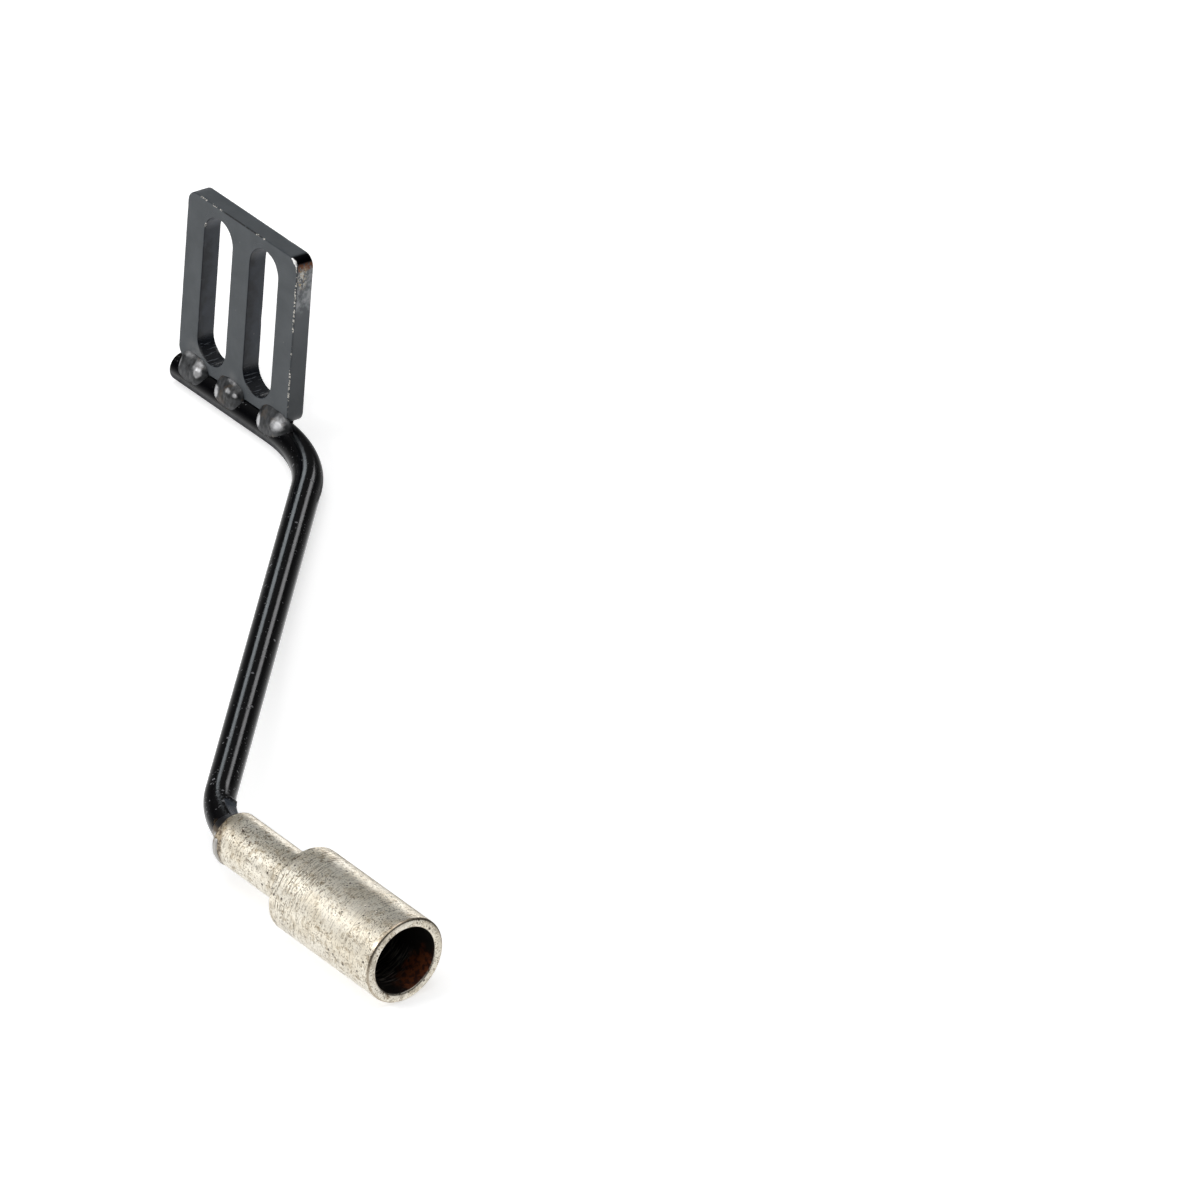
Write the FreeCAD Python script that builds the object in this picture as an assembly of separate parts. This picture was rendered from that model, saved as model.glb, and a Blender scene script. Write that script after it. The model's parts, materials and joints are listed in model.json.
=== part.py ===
import FreeCAD, Part
import math
import os

os.makedirs("parts", exist_ok=True)

V = FreeCAD.Vector

# Millimetres. X runs along the plate's width, Z up its height, and -Y is the side the rod jogs toward.
# The origin is the middle of the slot pattern on the plate's jog-side face.

# Slotted plate
PLATE_W = 34.2
PLATE_H = 36.0
PLATE_T = 4.0
CORNER_R = 2.4
SLOT_W = 8.8
SLOT_L = 31.4
SLOT_SPACING = 14.3

# Bent rod. It bends sideways to cross over, and starts to bend back where the socket is welded on.
ROD_R = 3.0
ROD_STUB = 0.6
CORNER_X = 24.7
BEND_1_DEG = 45.0
BEND_1_R = 31.0
CROSS_L = 115.9
BEND_2_DEG = 29.0
BEND_2_R = 28.0
TAIL_L = 2.0
ROD_CHAMFER = 0.5

# Socket
SHANK_R = 5.15
SHANK_L = 21.4
CUP_R = 8.5
CUP_L = 29.5
BORE_R = 6.65
BORE_DEPTH = 25.0
DRILL_POINT_DEG = 31.0
SHANK_ROUND = 0.7
SHOULDER_CHAMFER = 0.3
RIM_CHAMFER = 0.4

# Weld beads, as rounded capsules along X: centre, full length and radius of each
FRONT_BEADS = ((-11.6, 8.6, 3.3), (-0.2, 8.4, 3.3), (13.8, 10.0, 3.4))
BACK_BEADS = ((-12.2, 7.0, 2.5), (-0.6, 7.4, 2.5), (10.4, 7.8, 2.6))
FRONT_BEAD_Y = 0.8
BACK_BEAD_Y = 3.7
BEAD_DROP = 0.8
ROD_WELD_R = 4.3
ROD_WELD_L = 3.4

BOTTOM_Z = -PLATE_H / 2
ROD_Y = 1.4
ROD_Z = BOTTOM_Z - ROD_R


def save(shape, name):
    """Write one node's solid as a STEP file."""
    shape.exportStep("parts/" + name + ".step")


def capsule(centre, length, radius):
    """A round-ended bar along X."""
    straight = length - 2 * radius
    start = centre - V(straight / 2, 0, 0)
    finish = centre + V(straight / 2, 0, 0)
    bar = Part.makeCylinder(radius, straight, start, V(1, 0, 0))
    return bar.fuse([Part.makeSphere(radius, start), Part.makeSphere(radius, finish)])


def obround(centre_x, width, length):
    """A solid through the plate's thickness with the outline of a slot."""
    radius = width / 2
    half = length / 2 - radius
    depth = PLATE_T + 2.0
    box = Part.makeBox(width, depth, 2 * half, V(centre_x - radius, -1.0, -half))
    low = Part.makeCylinder(radius, depth, V(centre_x, -1.0, -half), V(0, 1, 0))
    high = Part.makeCylinder(radius, depth, V(centre_x, -1.0, half), V(0, 1, 0))
    return box.fuse([low, high]).removeSplitter()


def make_plate():
    """The flat plate with rounded corners and its two slots."""
    plate = Part.makeBox(PLATE_W, PLATE_T, PLATE_H, V(-PLATE_W / 2, 0, BOTTOM_Z))
    corners = []
    for edge in plate.Edges:
        first = edge.Vertexes[0].Point
        last = edge.Vertexes[1].Point
        if abs(first.y - last.y) > 1.0:
            corners.append(edge)
    plate = plate.makeFillet(CORNER_R, corners)
    for side in (-1, 1):
        plate = plate.cut(obround(side * SLOT_SPACING / 2, SLOT_W, SLOT_L))
    return plate


def heading(degrees):
    """A level direction, turned from +X toward the jog."""
    angle = math.radians(degrees)
    return V(math.cos(angle), -math.sin(angle), 0)


def arc_from(start, degrees, turn, radius):
    """A level arc that leaves start along one heading and turns by an angle. Returns its edge and end."""
    side = math.copysign(1.0, turn)
    toward_centre = heading(degrees + side * 90.0)
    centre = start + toward_centre * radius
    middle = centre - heading(degrees + turn / 2 + side * 90.0) * radius
    end = centre - heading(degrees + turn + side * 90.0) * radius
    return Part.Arc(start, middle, end).toShape(), end


def rod_path():
    """The rod's centreline as edges, with its first and last points."""
    start = V(-PLATE_W / 2 - ROD_STUB, ROD_Y, ROD_Z)
    setback = BEND_1_R * math.tan(math.radians(BEND_1_DEG / 2))
    bend_start = V(CORNER_X - setback, ROD_Y, ROD_Z)
    bend_1, cross_start = arc_from(bend_start, 0.0, BEND_1_DEG, BEND_1_R)
    cross_end = cross_start + heading(BEND_1_DEG) * CROSS_L
    bend_2, tail_start = arc_from(cross_end, BEND_1_DEG, -BEND_2_DEG, BEND_2_R)
    end = tail_start + heading(BEND_1_DEG - BEND_2_DEG) * TAIL_L
    beyond = end + heading(BEND_1_DEG - BEND_2_DEG) * 2 * ROD_R
    edges = [
        Part.makeLine(start, bend_start),
        bend_1,
        Part.makeLine(cross_start, cross_end),
        bend_2,
        Part.makeLine(tail_start, beyond),
    ]
    return edges, start, end


def past_plane(x, middle, size):
    """A block that holds everything near a point beyond a plane across X."""
    return Part.makeBox(size, size, size, V(x, middle.y - size / 2, middle.z - size / 2))


def make_rod(edges, start, end):
    """The round bar swept along its path, mitred to the socket's end face, its free end chamfered."""
    outline = Part.Wire([Part.makeCircle(ROD_R, start, V(1, 0, 0))])
    rod = Part.Wire(edges).makePipeShell([outline], True, True)
    rod = rod.cut(past_plane(end.x, end, 8 * ROD_R))
    free_end = []
    for edge in rod.Edges:
        if edge.BoundBox.XMax < start.x + 0.01:
            free_end.append(edge)
    return rod.makeChamfer(ROD_CHAMFER, free_end)


def make_socket(base):
    """The turned socket, revolved about its own axis, which runs along X from the rod's end."""
    mouth = SHANK_L + CUP_L
    floor = mouth - BORE_DEPTH
    tip = BORE_R * math.tan(math.radians(DRILL_POINT_DEG))
    profile = [
        (0.0, 0.0),
        (0.0, SHANK_R - SHANK_ROUND),
        (SHANK_ROUND * 0.3, SHANK_R - SHANK_ROUND * 0.3),
        (SHANK_ROUND, SHANK_R),
        (SHANK_L, SHANK_R),
        (SHANK_L, CUP_R - SHOULDER_CHAMFER),
        (SHANK_L + SHOULDER_CHAMFER, CUP_R),
        (mouth - RIM_CHAMFER, CUP_R),
        (mouth, CUP_R - RIM_CHAMFER),
        (mouth, BORE_R + RIM_CHAMFER),
        (mouth - RIM_CHAMFER, BORE_R),
        (floor, BORE_R),
        (floor - tip, 0.0),
    ]
    corners = [V(base.x + along, base.y, base.z + radius) for along, radius in profile]
    corners.append(corners[0])
    face = Part.Face(Part.makePolygon(corners))
    return face.revolve(base, V(1, 0, 0), 360)


def make_bead(spec, bead_y, side, neighbours):
    """One weld bead in the corner between a plate face and the rod, cut back to meet both."""
    centre_x, length, radius = spec
    bead = capsule(V(centre_x, bead_y, BOTTOM_Z - BEAD_DROP), length, radius)
    reach = 2 * length
    far_y = ROD_Y if side < 0 else ROD_Y - reach
    far_side = Part.makeBox(reach, reach, reach, V(centre_x - reach / 2, far_y, BOTTOM_Z - reach / 2))
    for other in [far_side] + neighbours:
        bead = bead.cut(other)
    return max(bead.Solids, key=lambda s: s.Volume)


def make_rod_weld(end, neighbours):
    """The weld that joins the rod's mitred end to the flat end of the socket's shank."""
    along = heading(BEND_1_DEG - BEND_2_DEG)
    start = end - along * ROD_WELD_L
    collar = Part.makeCone(ROD_R + 0.15, ROD_WELD_R, ROD_WELD_L, start, along)
    root = Part.makeCylinder(ROD_WELD_R, 2 * ROD_R, end, along)
    collar = collar.fuse(root).cut(past_plane(end.x, end, 8 * ROD_R))
    for other in neighbours:
        collar = collar.cut(other)
    return max(collar.Solids, key=lambda s: s.Volume)


plate = make_plate()
path, rod_start, rod_end = rod_path()
rod = make_rod(path, rod_start, rod_end)
socket = make_socket(rod_end)

save(plate, "slotted_plate")
save(rod, "bent_rod")
save(socket, "stepped_socket")
save(make_rod_weld(rod_end, [rod, socket]), "weld_rod_to_socket")

for number, spec in enumerate(FRONT_BEADS, start=1):
    bead = make_bead(spec, FRONT_BEAD_Y, -1, [plate, rod])
    save(bead, "weld_bead_front_%d" % number)

for number, spec in enumerate(BACK_BEADS, start=1):
    bead = make_bead(spec, BACK_BEAD_Y, 1, [plate, rod])
    save(bead, "weld_bead_back_%d" % number)
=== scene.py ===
import json
import math

import bmesh
import bpy
from mathutils import Matrix, Vector, noise
from mathutils.geometry import delaunay_2d_cdt, interpolate_bezier


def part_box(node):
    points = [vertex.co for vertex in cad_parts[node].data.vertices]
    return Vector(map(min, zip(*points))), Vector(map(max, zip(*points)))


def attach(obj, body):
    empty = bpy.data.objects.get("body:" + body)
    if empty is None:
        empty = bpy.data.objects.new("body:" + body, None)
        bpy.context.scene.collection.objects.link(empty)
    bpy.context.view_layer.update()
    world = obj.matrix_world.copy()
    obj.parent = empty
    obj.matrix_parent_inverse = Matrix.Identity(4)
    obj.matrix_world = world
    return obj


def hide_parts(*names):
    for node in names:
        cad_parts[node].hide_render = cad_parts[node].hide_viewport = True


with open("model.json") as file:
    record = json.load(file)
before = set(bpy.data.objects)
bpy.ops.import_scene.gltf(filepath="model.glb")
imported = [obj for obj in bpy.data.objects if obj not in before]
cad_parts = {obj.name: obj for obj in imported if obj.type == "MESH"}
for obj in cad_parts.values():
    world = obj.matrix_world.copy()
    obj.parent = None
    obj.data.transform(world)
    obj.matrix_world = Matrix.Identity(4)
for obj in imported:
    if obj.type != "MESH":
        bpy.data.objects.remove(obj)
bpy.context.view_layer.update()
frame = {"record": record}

MM = 0.001
X_AXIS = Vector((1, 0, 0))
Z_AXIS = Vector((0, 0, 1))

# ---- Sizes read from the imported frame, in metres ----
mounts = {mount["name"]: mount for mount in frame["record"]["mounts"]}
plate_lo, plate_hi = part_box("slotted_plate")
rod_lo, rod_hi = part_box("bent_rod")
socket_lo, socket_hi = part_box("stepped_socket")

ROD_R = (rod_hi.z - rod_lo.z) / 2
ROD_Y = rod_hi.y - ROD_R
ROD_Z = rod_lo.z + ROD_R
CUP_R = (socket_hi.z - socket_lo.z) / 2
SOCKET_BASE = Vector((socket_lo.x, (socket_lo.y + socket_hi.y) / 2, (socket_lo.z + socket_hi.z) / 2))
SOCKET_L = socket_hi.x - socket_lo.x
BORE_R = mounts["probe_bore"]["dims"]["r_mm"] * MM
SLOT_R = mounts["slot_left"]["dims"]["hole_r_mm"] * MM
SLOT_L = mounts["slot_left"]["dims"]["slot_length_mm"] * MM
SLOT_X = [mounts[name]["pos_m"][0] for name in ("slot_left", "slot_right")]

# Sizes that a box doesn't give
PLATE_CORNER_R = 2.4 * MM
BEND_1_DEG = 45.0
BEND_1_R = 31.0 * MM
BEND_2_DEG = 29.0
BEND_2_R = 28.0 * MM
ROD_END_DEG = BEND_1_DEG - BEND_2_DEG
ROD_TAIL = 2.0 * MM
SHANK_R = 5.15 * MM
SHANK_L = 21.4 * MM
BORE_DEPTH = 25.0 * MM
DRILL_POINT_DEG = 31.0

# The photograph's viewpoint, as an orbit about a point near the object
VIEW_AZIMUTH_DEG = 49.315
VIEW_ELEVATION_DEG = 29.44
VIEW_ROLL_DEG = 4.70
VIEW_AIM = Vector((90.85, 18.57, -25.0)) * MM
VIEW_DISTANCE = 2659.0 * MM
LENS_MM = 425.2
SENSOR_MM = 36.0

# The share of a rounded corner between two of its points
ARC_SHARE = 0.2


# ---- Mesh helpers ----
def wave(point, wavelength, seed=0.0):
    """Smooth noise from -1 to 1 with the given wavelength in metres."""
    return noise.noise(point / wavelength + Vector((seed, 2.3 * seed, -1.7 * seed)))


def join_rows(bm, first, second):
    """Quads between two rings of vertices of the same length."""
    for i in range(len(first)):
        bm.faces.new((first[i - 1], first[i], second[i], second[i - 1]))


def sides_round(direction, count):
    """Unit vectors evenly round a level direction, the first of them level too."""
    angles = [2 * math.pi * k / count for k in range(count)]
    return [Z_AXIS.cross(direction) * math.cos(angle) + Z_AXIS * math.sin(angle) for angle in angles]


def fan(bm, row, centre):
    """Closes a round row with triangles to its centre."""
    hub = bm.verts.new(centre)
    for i in range(len(row)):
        bm.faces.new((row[i - 1], row[i], hub))


def finish_mesh(bm, name, material, node):
    """Turns a bmesh into a smooth piece that rides on the body and stands for its CAD node."""
    bmesh.ops.recalc_face_normals(bm, faces=bm.faces)
    mesh = bpy.data.meshes.new(name)
    bm.to_mesh(mesh)
    bm.free()
    mesh.shade_smooth()
    mesh.materials.append(material)
    piece = bpy.data.objects.new(name, mesh)
    show(piece)
    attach(piece, "root")
    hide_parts(node)
    return piece


def show(item):
    """Puts an object in the scene."""
    bpy.context.scene.collection.objects.link(item)


def steps_between(start, end, step):
    """Even values from start to end, about a step apart, both ends included."""
    count = max(1, round(abs(end - start) / step))
    return [start + (end - start) * i / count for i in range(count + 1)]


def rounded_outline(corners, radii):
    """An open outline whose inner corners are rounded to the given radii."""
    points = [Vector(corners[0])]
    for i, radius in enumerate(radii, start=1):
        here = Vector(corners[i])
        back = (Vector(corners[i - 1]) - here).normalized()
        ahead = (Vector(corners[i + 1]) - here).normalized()
        half = back.angle(ahead) / 2
        setback = radius / math.tan(half)
        centre = here + (back + ahead).normalized() * (radius / math.sin(half))
        start = here + back * setback - centre
        end = here + ahead * setback - centre
        for share in steps_between(0.0, 1.0, ARC_SHARE):
            direction = (start.normalized() * (1 - share) + end.normalized() * share).normalized()
            points.append(centre + direction * radius)
    points.append(Vector(corners[-1]))
    return points


def divided(points, longest):
    """The same outline with its long runs divided."""
    result = [points[0]]
    for first, second in zip(points, points[1:]):
        count = max(1, math.ceil((second - first).length / longest))
        for k in range(1, count + 1):
            result.append(first.lerp(second, k / count))
    return result


# ---- Material helpers ----
class Graph:
    """A node material with one Principled shader. Textures and bumps take sizes in millimetres."""

    def __init__(self, name):
        self.material = bpy.data.materials.new(name)
        self.material.use_nodes = True
        self.tree = self.material.node_tree
        self.tree.nodes.clear()
        self.surface = self.add("ShaderNodeOutputMaterial").inputs["Surface"]
        self.shader = self.add("ShaderNodeBsdfPrincipled")
        self.link(self.shader.outputs["BSDF"], self.surface)
        self.place = self.add("ShaderNodeTexCoord").outputs["Object"]

    def add(self, kind, **settings):
        node = self.tree.nodes.new(kind)
        for name, value in settings.items():
            setattr(node, name, value)
        return node

    def link(self, source, target):
        self.tree.links.new(source, target)

    def feed(self, socket, value):
        """Links a node's output, or sets a plain value."""
        if isinstance(value, bpy.types.NodeSocket):
            self.link(value, socket)
        else:
            socket.default_value = value

    def set(self, name, value):
        self.feed(self.shader.inputs[name], value)

    def maths(self, operation, first, second=0.0, third=0.0):
        node = self.add("ShaderNodeMath", operation=operation)
        for socket, value in zip(node.inputs, (first, second, third)):
            self.feed(socket, value)
        return node.outputs[0]

    def affine(self, value, factor, offset):
        """value * factor + offset"""
        return self.maths("MULTIPLY_ADD", value, factor, offset)

    def axes(self):
        node = self.add("ShaderNodeSeparateXYZ")
        self.link(self.place, node.inputs[0])
        return node.outputs

    def vector_maths(self, operation, first, second):
        node = self.add("ShaderNodeVectorMath", operation=operation)
        self.link(first, node.inputs[0])
        self.feed(node.inputs[1], second)
        return node.outputs

    def stretched(self, *scale):
        """The place, scaled by three numbers, so that a texture comes out stretched."""
        return self.vector_maths("MULTIPLY", self.place, scale)["Vector"]

    def distance(self, point, vector=None):
        return self.vector_maths("DISTANCE", vector or self.place, point)["Value"]

    def reach(self, direction):
        """How far a place lies from the socket's end toward a direction, times the direction's length."""
        offset = self.vector_maths("SUBTRACT", self.place, SOCKET_BASE)["Vector"]
        return self.vector_maths("DOT_PRODUCT", offset, direction)["Value"]

    def noise(self, size, detail=3.0, rough=0.5, vector=None):
        """Noise from 0 to 1 whose features have the given size."""
        node = self.add("ShaderNodeTexNoise")
        self.link(vector or self.place, node.inputs["Vector"])
        self.feed(node.inputs["Scale"], 1 / (size * MM))
        self.feed(node.inputs["Detail"], detail)
        self.feed(node.inputs["Roughness"], rough)
        return node.outputs["Fac"]

    def patches(self, size, detail, low, high, rough=0.5):
        """Irregular patches of the given size: 1 where the noise is above high, 0 below low."""
        return self.fade(self.noise(size, detail, rough), low, high)

    def dots(self, spacing):
        """The distance to the nearest of scattered points, as a share of their spacing."""
        node = self.add("ShaderNodeTexVoronoi")
        self.link(self.place, node.inputs["Vector"])
        self.feed(node.inputs["Scale"], 1 / (spacing * MM))
        return node.outputs["Distance"]

    def fade(self, value, low, high):
        """0 below low, 1 above high and smooth between. Low may be the larger."""
        node = self.add("ShaderNodeMapRange", interpolation_type="SMOOTHSTEP")
        self.feed(node.inputs["Value"], value)
        flip = low > high
        self.feed(node.inputs["From Min"], min(low, high))
        self.feed(node.inputs["From Max"], max(low, high))
        self.feed(node.inputs["To Min"], 1.0 if flip else 0.0)
        self.feed(node.inputs["To Max"], 0.0 if flip else 1.0)
        return node.outputs["Result"]

    def fade_mm(self, value, low, high):
        """The same, with low and high in millimetres."""
        return self.fade(value, low * MM, high * MM)

    def span(self, value, low, high):
        """Maps 0..1 to low..high."""
        return self.affine(value, high - low, low)

    def blend(self, factor, first, second):
        node = self.add("ShaderNodeMix", data_type="RGBA")
        self.feed(node.inputs["Factor"], factor)
        for socket, value in ((node.inputs["A"], first), (node.inputs["B"], second)):
            self.feed(socket, value if isinstance(value, bpy.types.NodeSocket) else (*value, 1.0))
        return node.outputs["Result"]

    def mask(self, *values):
        """The product of several masks."""
        result = values[0]
        for value in values[1:]:
            result = self.maths("MULTIPLY", result, value)
        return result

    def attribute(self, name):
        return self.add("ShaderNodeAttribute", attribute_name=name).outputs["Fac"]

    def bump(self, height, depth, normal=None):
        """A bump whose full height, 0 to 1, is the given depth."""
        node = self.add("ShaderNodeBump")
        self.feed(node.inputs["Height"], height)
        self.feed(node.inputs["Distance"], depth * MM)
        if normal is not None:
            self.link(normal, node.inputs["Normal"])
        return node.outputs["Normal"]


BARE_STEEL_AND_GLINT = (0.74, 0.71, 0.65)
PAINTED_GLINT_WHITE = (0.86, 0.86, 0.85)
RUST = (0.16, 0.055, 0.02)
GOLD_TINT = (0.40, 0.29, 0.15)
BURNT_BROWN = (0.105, 0.072, 0.040)

# Where the plate's edges show chips, as (x, z, reach) in millimetres on the face toward the jog. The two at
# x -11.5 and -11.6 are a painted highlight instead: a glint on the left slot's edge.
EDGE_CHIPS_AND_GLINTS = (
    (-12.9, 18.0, 0.55), (-11.8, 18.0, 0.55), (-9.3, 18.0, 0.55), (-8.6, 18.0, 0.40),
    (-7.0, 18.0, 0.45), (4.6, 18.0, 0.60), (6.5, 18.0, 0.42), (-11.5, 13.2, 0.45), (-11.6, 12.4, 0.45),
    (17.1, -6.9, 0.45), (17.1, -8.4, 0.6), (17.1, -9.5, 0.5), (17.1, -10.9, 0.7),
)


def plate_paint():
    """Satin black finish with fine scratches, chips on its edges and one corner worn to bare metal. Painted
    light: glints on two edges, a black band on the top right corner, pale patches above two welds and a
    lighter right end.
    """
    g = Graph("plate_satin_black")
    x, y, z = g.axes()[0:3]
    flat = g.stretched(1.0, 0.0, 1.0)

    def near(x_mm, z_mm, reach_mm, soft=0.5):
        """A round patch through the plate's thickness."""
        away = g.distance((x_mm * MM, 0.0, z_mm * MM), flat)
        return g.fade_mm(away, reach_mm, reach_mm * (1 - soft))

    cloudy = g.noise(5, 4.0)
    fine = g.noise(0.5, 3.0)
    base = g.blend(g.fade(cloudy, 0.3, 0.7), (0.029, 0.036, 0.042), (0.042, 0.050, 0.057))
    wall = g.attribute("slot_wall")
    deeper = g.affine(y, 0.11 / MM, g.noise(3.5, 4.0))
    wall_colour = g.blend(g.fade(deeper, 0.44, 0.84), (0.004, 0.006, 0.011), (0.029, 0.037, 0.052))
    base = g.blend(wall, base, wall_colour)

    fine_lines = g.noise(0.30, 2.0, vector=g.stretched(1.0, 0.10, 1.0))
    slot_ends = g.mask(wall, g.fade(z, -0.30 * SLOT_L, -0.44 * SLOT_L))
    # Painted shade: the lower ends of the slots' walls are painted near black.
    base = g.blend(g.mask(slot_ends, 0.9), base, (0.003, 0.004, 0.006))
    base = g.blend(g.mask(g.fade(fine_lines, 0.60, 0.70), slot_ends, 0.7), base, (0.10, 0.11, 0.125))
    scratches = g.fade(g.noise(0.22, 2.0, vector=g.stretched(1.0, 1.0, 0.05)), 0.68, 0.76)
    base = g.blend(g.mask(scratches, 0.25), base, (0.09, 0.095, 0.10))
    specks = g.mask(g.fade(g.dots(1.9), 0.10, 0.05), g.patches(4, 2.0, 0.56, 0.66))
    base = g.blend(g.mask(specks, 0.6), base, (0.16, 0.16, 0.16))

    # Painted reflection: lighter patches painted on the face just above the first two beads.
    painted_sheen_patches = g.maths("MAXIMUM", near(-11.4, -15.6, 4.2, 0.9), near(-0.2, -16.2, 3.0, 0.9))
    painted_sheen_patches = g.mask(painted_sheen_patches, g.patches(2.6, 4.0, 0.36, 0.60, 0.6), g.fade_mm(y, 0.6, 0.2))
    base = g.blend(g.mask(painted_sheen_patches, 0.6), base, (0.115, 0.118, 0.120))

    edge = g.fade(g.attribute("edge_wear"), 0.3, 0.8)
    jog_side = g.fade_mm(y, 1.0, 0.5)
    crumbs = g.patches(0.55, 3.0, 0.50, 0.58, 0.6)
    spots = near(*EDGE_CHIPS_AND_GLINTS[0])
    for spot in EDGE_CHIPS_AND_GLINTS[1:]:
        spots = g.maths("MAXIMUM", spots, near(*spot))
    right_edge = g.mask(g.fade_mm(x, 16.3, 16.8), g.fade_mm(z, -17.0, -14.0))
    busy = g.maths("MAXIMUM", g.fade_mm(z, 3.0, 6.0), g.patches(2.5, 2.0, 0.5, 0.6))
    dashes = g.mask(right_edge, busy, crumbs)
    ragged_spots = g.mask(spots, g.patches(0.28, 2.0, 0.46, 0.56))
    chips_and_glints = g.mask(edge, jog_side, g.maths("MAXIMUM", ragged_spots, dashes))
    # Painted highlight: a white glint painted on the rounded front edge of the top right corner; it joins
    # the chips.
    glint = g.mask(near(16.05, 17.3, 1.35, 1.0), g.attribute("edge_wear"), jog_side)
    glint = g.fade(glint, 0.15, 0.21)
    dark_line = g.mask(edge, jog_side, g.fade_mm(z, 17.3, 17.7), g.fade_mm(x, -7, -5))
    dark_line = g.mask(dark_line, g.fade_mm(x, 6.2, 5.4), g.fade(fine, 0.35, 0.45))
    chips_and_glints = g.maths("MAXIMUM", chips_and_glints, glint)

    side = g.fade_mm(x, 15.0, 16.6)
    inside_edge = g.fade_mm(y, 0.25, 0.55)
    # Painted shade: a black band on the corner's rounded wall, fully metallic so that it reflects nothing.
    painted_dark_band = g.mask(near(16.0, 17.5, 1.35), inside_edge)
    rusty = g.mask(near(17.0, 16.2, 1.0, 0.6), g.patches(0.7, 4.0, 0.42, 0.52), inside_edge)
    worn_zone = g.mask(side, g.fade_mm(z, 11.0, 12.6), g.fade_mm(z, 16.6, 15.8))
    worn_zone = g.mask(worn_zone, g.fade_mm(y, 3.1, 1.6), inside_edge)
    worn = g.mask(worn_zone, g.patches(0.9, 5.0, 0.44, 0.56, 0.7))
    worn_colour = g.blend(g.patches(0.6, 3.0, 0.38, 0.50), GOLD_TINT, (0.55, 0.54, 0.50))
    clouds = g.mask(side, g.fade_mm(z, 5.0, 8.5), g.fade_mm(z, 16.6, 15.6), inside_edge)
    clouds = g.mask(clouds, g.patches(2.0, 5.0, 0.40, 0.66, 0.65))

    # Painted light: the plate's right end is painted lighter grey, more so toward its top.
    painted_side_light = g.mask(side, inside_edge, g.fade_mm(z, -14.0, 16.0), 0.7)
    colour = g.blend(painted_side_light, base, (0.115, 0.124, 0.136))
    colour = g.blend(g.mask(clouds, 0.9), colour, (0.32, 0.33, 0.34))
    colour = g.blend(dark_line, colour, (0.005, 0.006, 0.008))
    colour = g.blend(painted_dark_band, colour, (0.002, 0.002, 0.003))
    colour = g.blend(rusty, colour, RUST)
    colour = g.blend(worn, colour, worn_colour)
    colour = g.blend(chips_and_glints, colour, g.blend(glint, BARE_STEEL_AND_GLINT, PAINTED_GLINT_WHITE))
    # The metal mask takes in the painted corner glint too.
    bare = g.maths("MAXIMUM", chips_and_glints, worn)
    g.set("Base Color", colour)
    g.set("Metallic", g.maths("MAXIMUM", g.mask(bare, 0.45), painted_dark_band))
    rough = g.span(g.noise(3, 4.0), 0.34, 0.5)
    rough = g.affine(slot_ends, -0.24, rough)
    g.set("Roughness", g.affine(scratches, -0.08, rough))
    normal = g.bump(fine, 0.012)
    normal = g.bump(bare, -0.03, normal)
    g.set("Normal", normal)
    return g.material


def rod_paint():
    """Gloss black enamel over a drawn bar with chips in places, burnt back at the socket weld, and a
    painted reflection of the floor under its first section.
    """
    g = Graph("rod_gloss_black")
    from_end = g.distance(SOCKET_BASE)
    peel = g.noise(1.3, 2.0)
    drawn = g.noise(0.35, 2.0)
    base = g.blend(g.noise(4, 3.0), (0.0004, 0.0004, 0.0008), (0.0020, 0.0020, 0.0032))

    chip_shape = g.fade(g.dots(2.3), 0.17, 0.12)
    chip_zone = g.patches(9, 2.0, 0.49, 0.56)
    axes = g.axes()
    height = g.maths("SUBTRACT", axes["Z"], ROD_Z)
    upper = g.fade_mm(height, 0.2, 1.6)
    chips = g.mask(chip_shape, chip_zone, g.span(upper, 0.15, 1.0))
    near_end = g.fade_mm(from_end, 34, 14)
    dust_zone = g.affine(near_end, 0.11, g.noise(3, 2.0))
    dust = g.mask(g.fade(g.dots(0.8), 0.24, 0.14), g.fade(dust_zone, 0.51, 0.59), upper)
    colour = g.blend(g.mask(dust, g.span(near_end, 0.6, 0.9)), base, (0.26, 0.26, 0.27))
    colour = g.blend(chips, colour, (0.38, 0.38, 0.40))

    heat_dulled = g.fade_mm(from_end, 15, 10)
    cut = g.attribute("cut_face")
    colour = g.blend(g.mask(cut, 0.9), colour, (0.10, 0.12, 0.15))
    # Painted reflection: the underside of the first section is painted lighter grey for the floor it
    # reflects, and it is rougher.
    satin_and_painted_sheen = g.mask(g.fade_mm(height, 0.1, -0.7), g.fade_mm(axes["X"], 26, 19))
    cloudy = g.patches(1.5, 4.0, 0.35, 0.65)
    painted_sheen_colour = g.blend(cloudy, (0.026, 0.027, 0.030), (0.052, 0.053, 0.055))
    colour = g.blend(satin_and_painted_sheen, colour, painted_sheen_colour)
    burnt = g.mask(g.fade_mm(from_end, 5.6, 4.2), g.fade_mm(height, 2.4, 1.2))
    burnt = g.mask(burnt, g.patches(1.2, 4.0, 0.46, 0.54, 0.65))
    colour = g.blend(burnt, colour, BURNT_BROWN)
    g.set("Base Color", colour)
    rough = g.span(g.noise(2.4, 3.0), 0.12, 0.20)
    rough = g.affine(heat_dulled, 0.05, rough)
    rough = g.affine(satin_and_painted_sheen, 0.28, rough)
    g.set("Roughness", g.affine(chips, 0.3, rough))
    g.set("IOR", 1.4)
    g.set("Metallic", g.mask(chips, 0.4))
    normal = g.bump(peel, 0.012)
    normal = g.bump(drawn, 0.002, normal)
    scuffed = g.mask(g.noise(0.5, 3.0), heat_dulled)
    normal = g.bump(scuffed, 0.03, normal)
    normal = g.bump(chips, -0.05, normal)
    g.set("Normal", normal)
    return g.material


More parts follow.
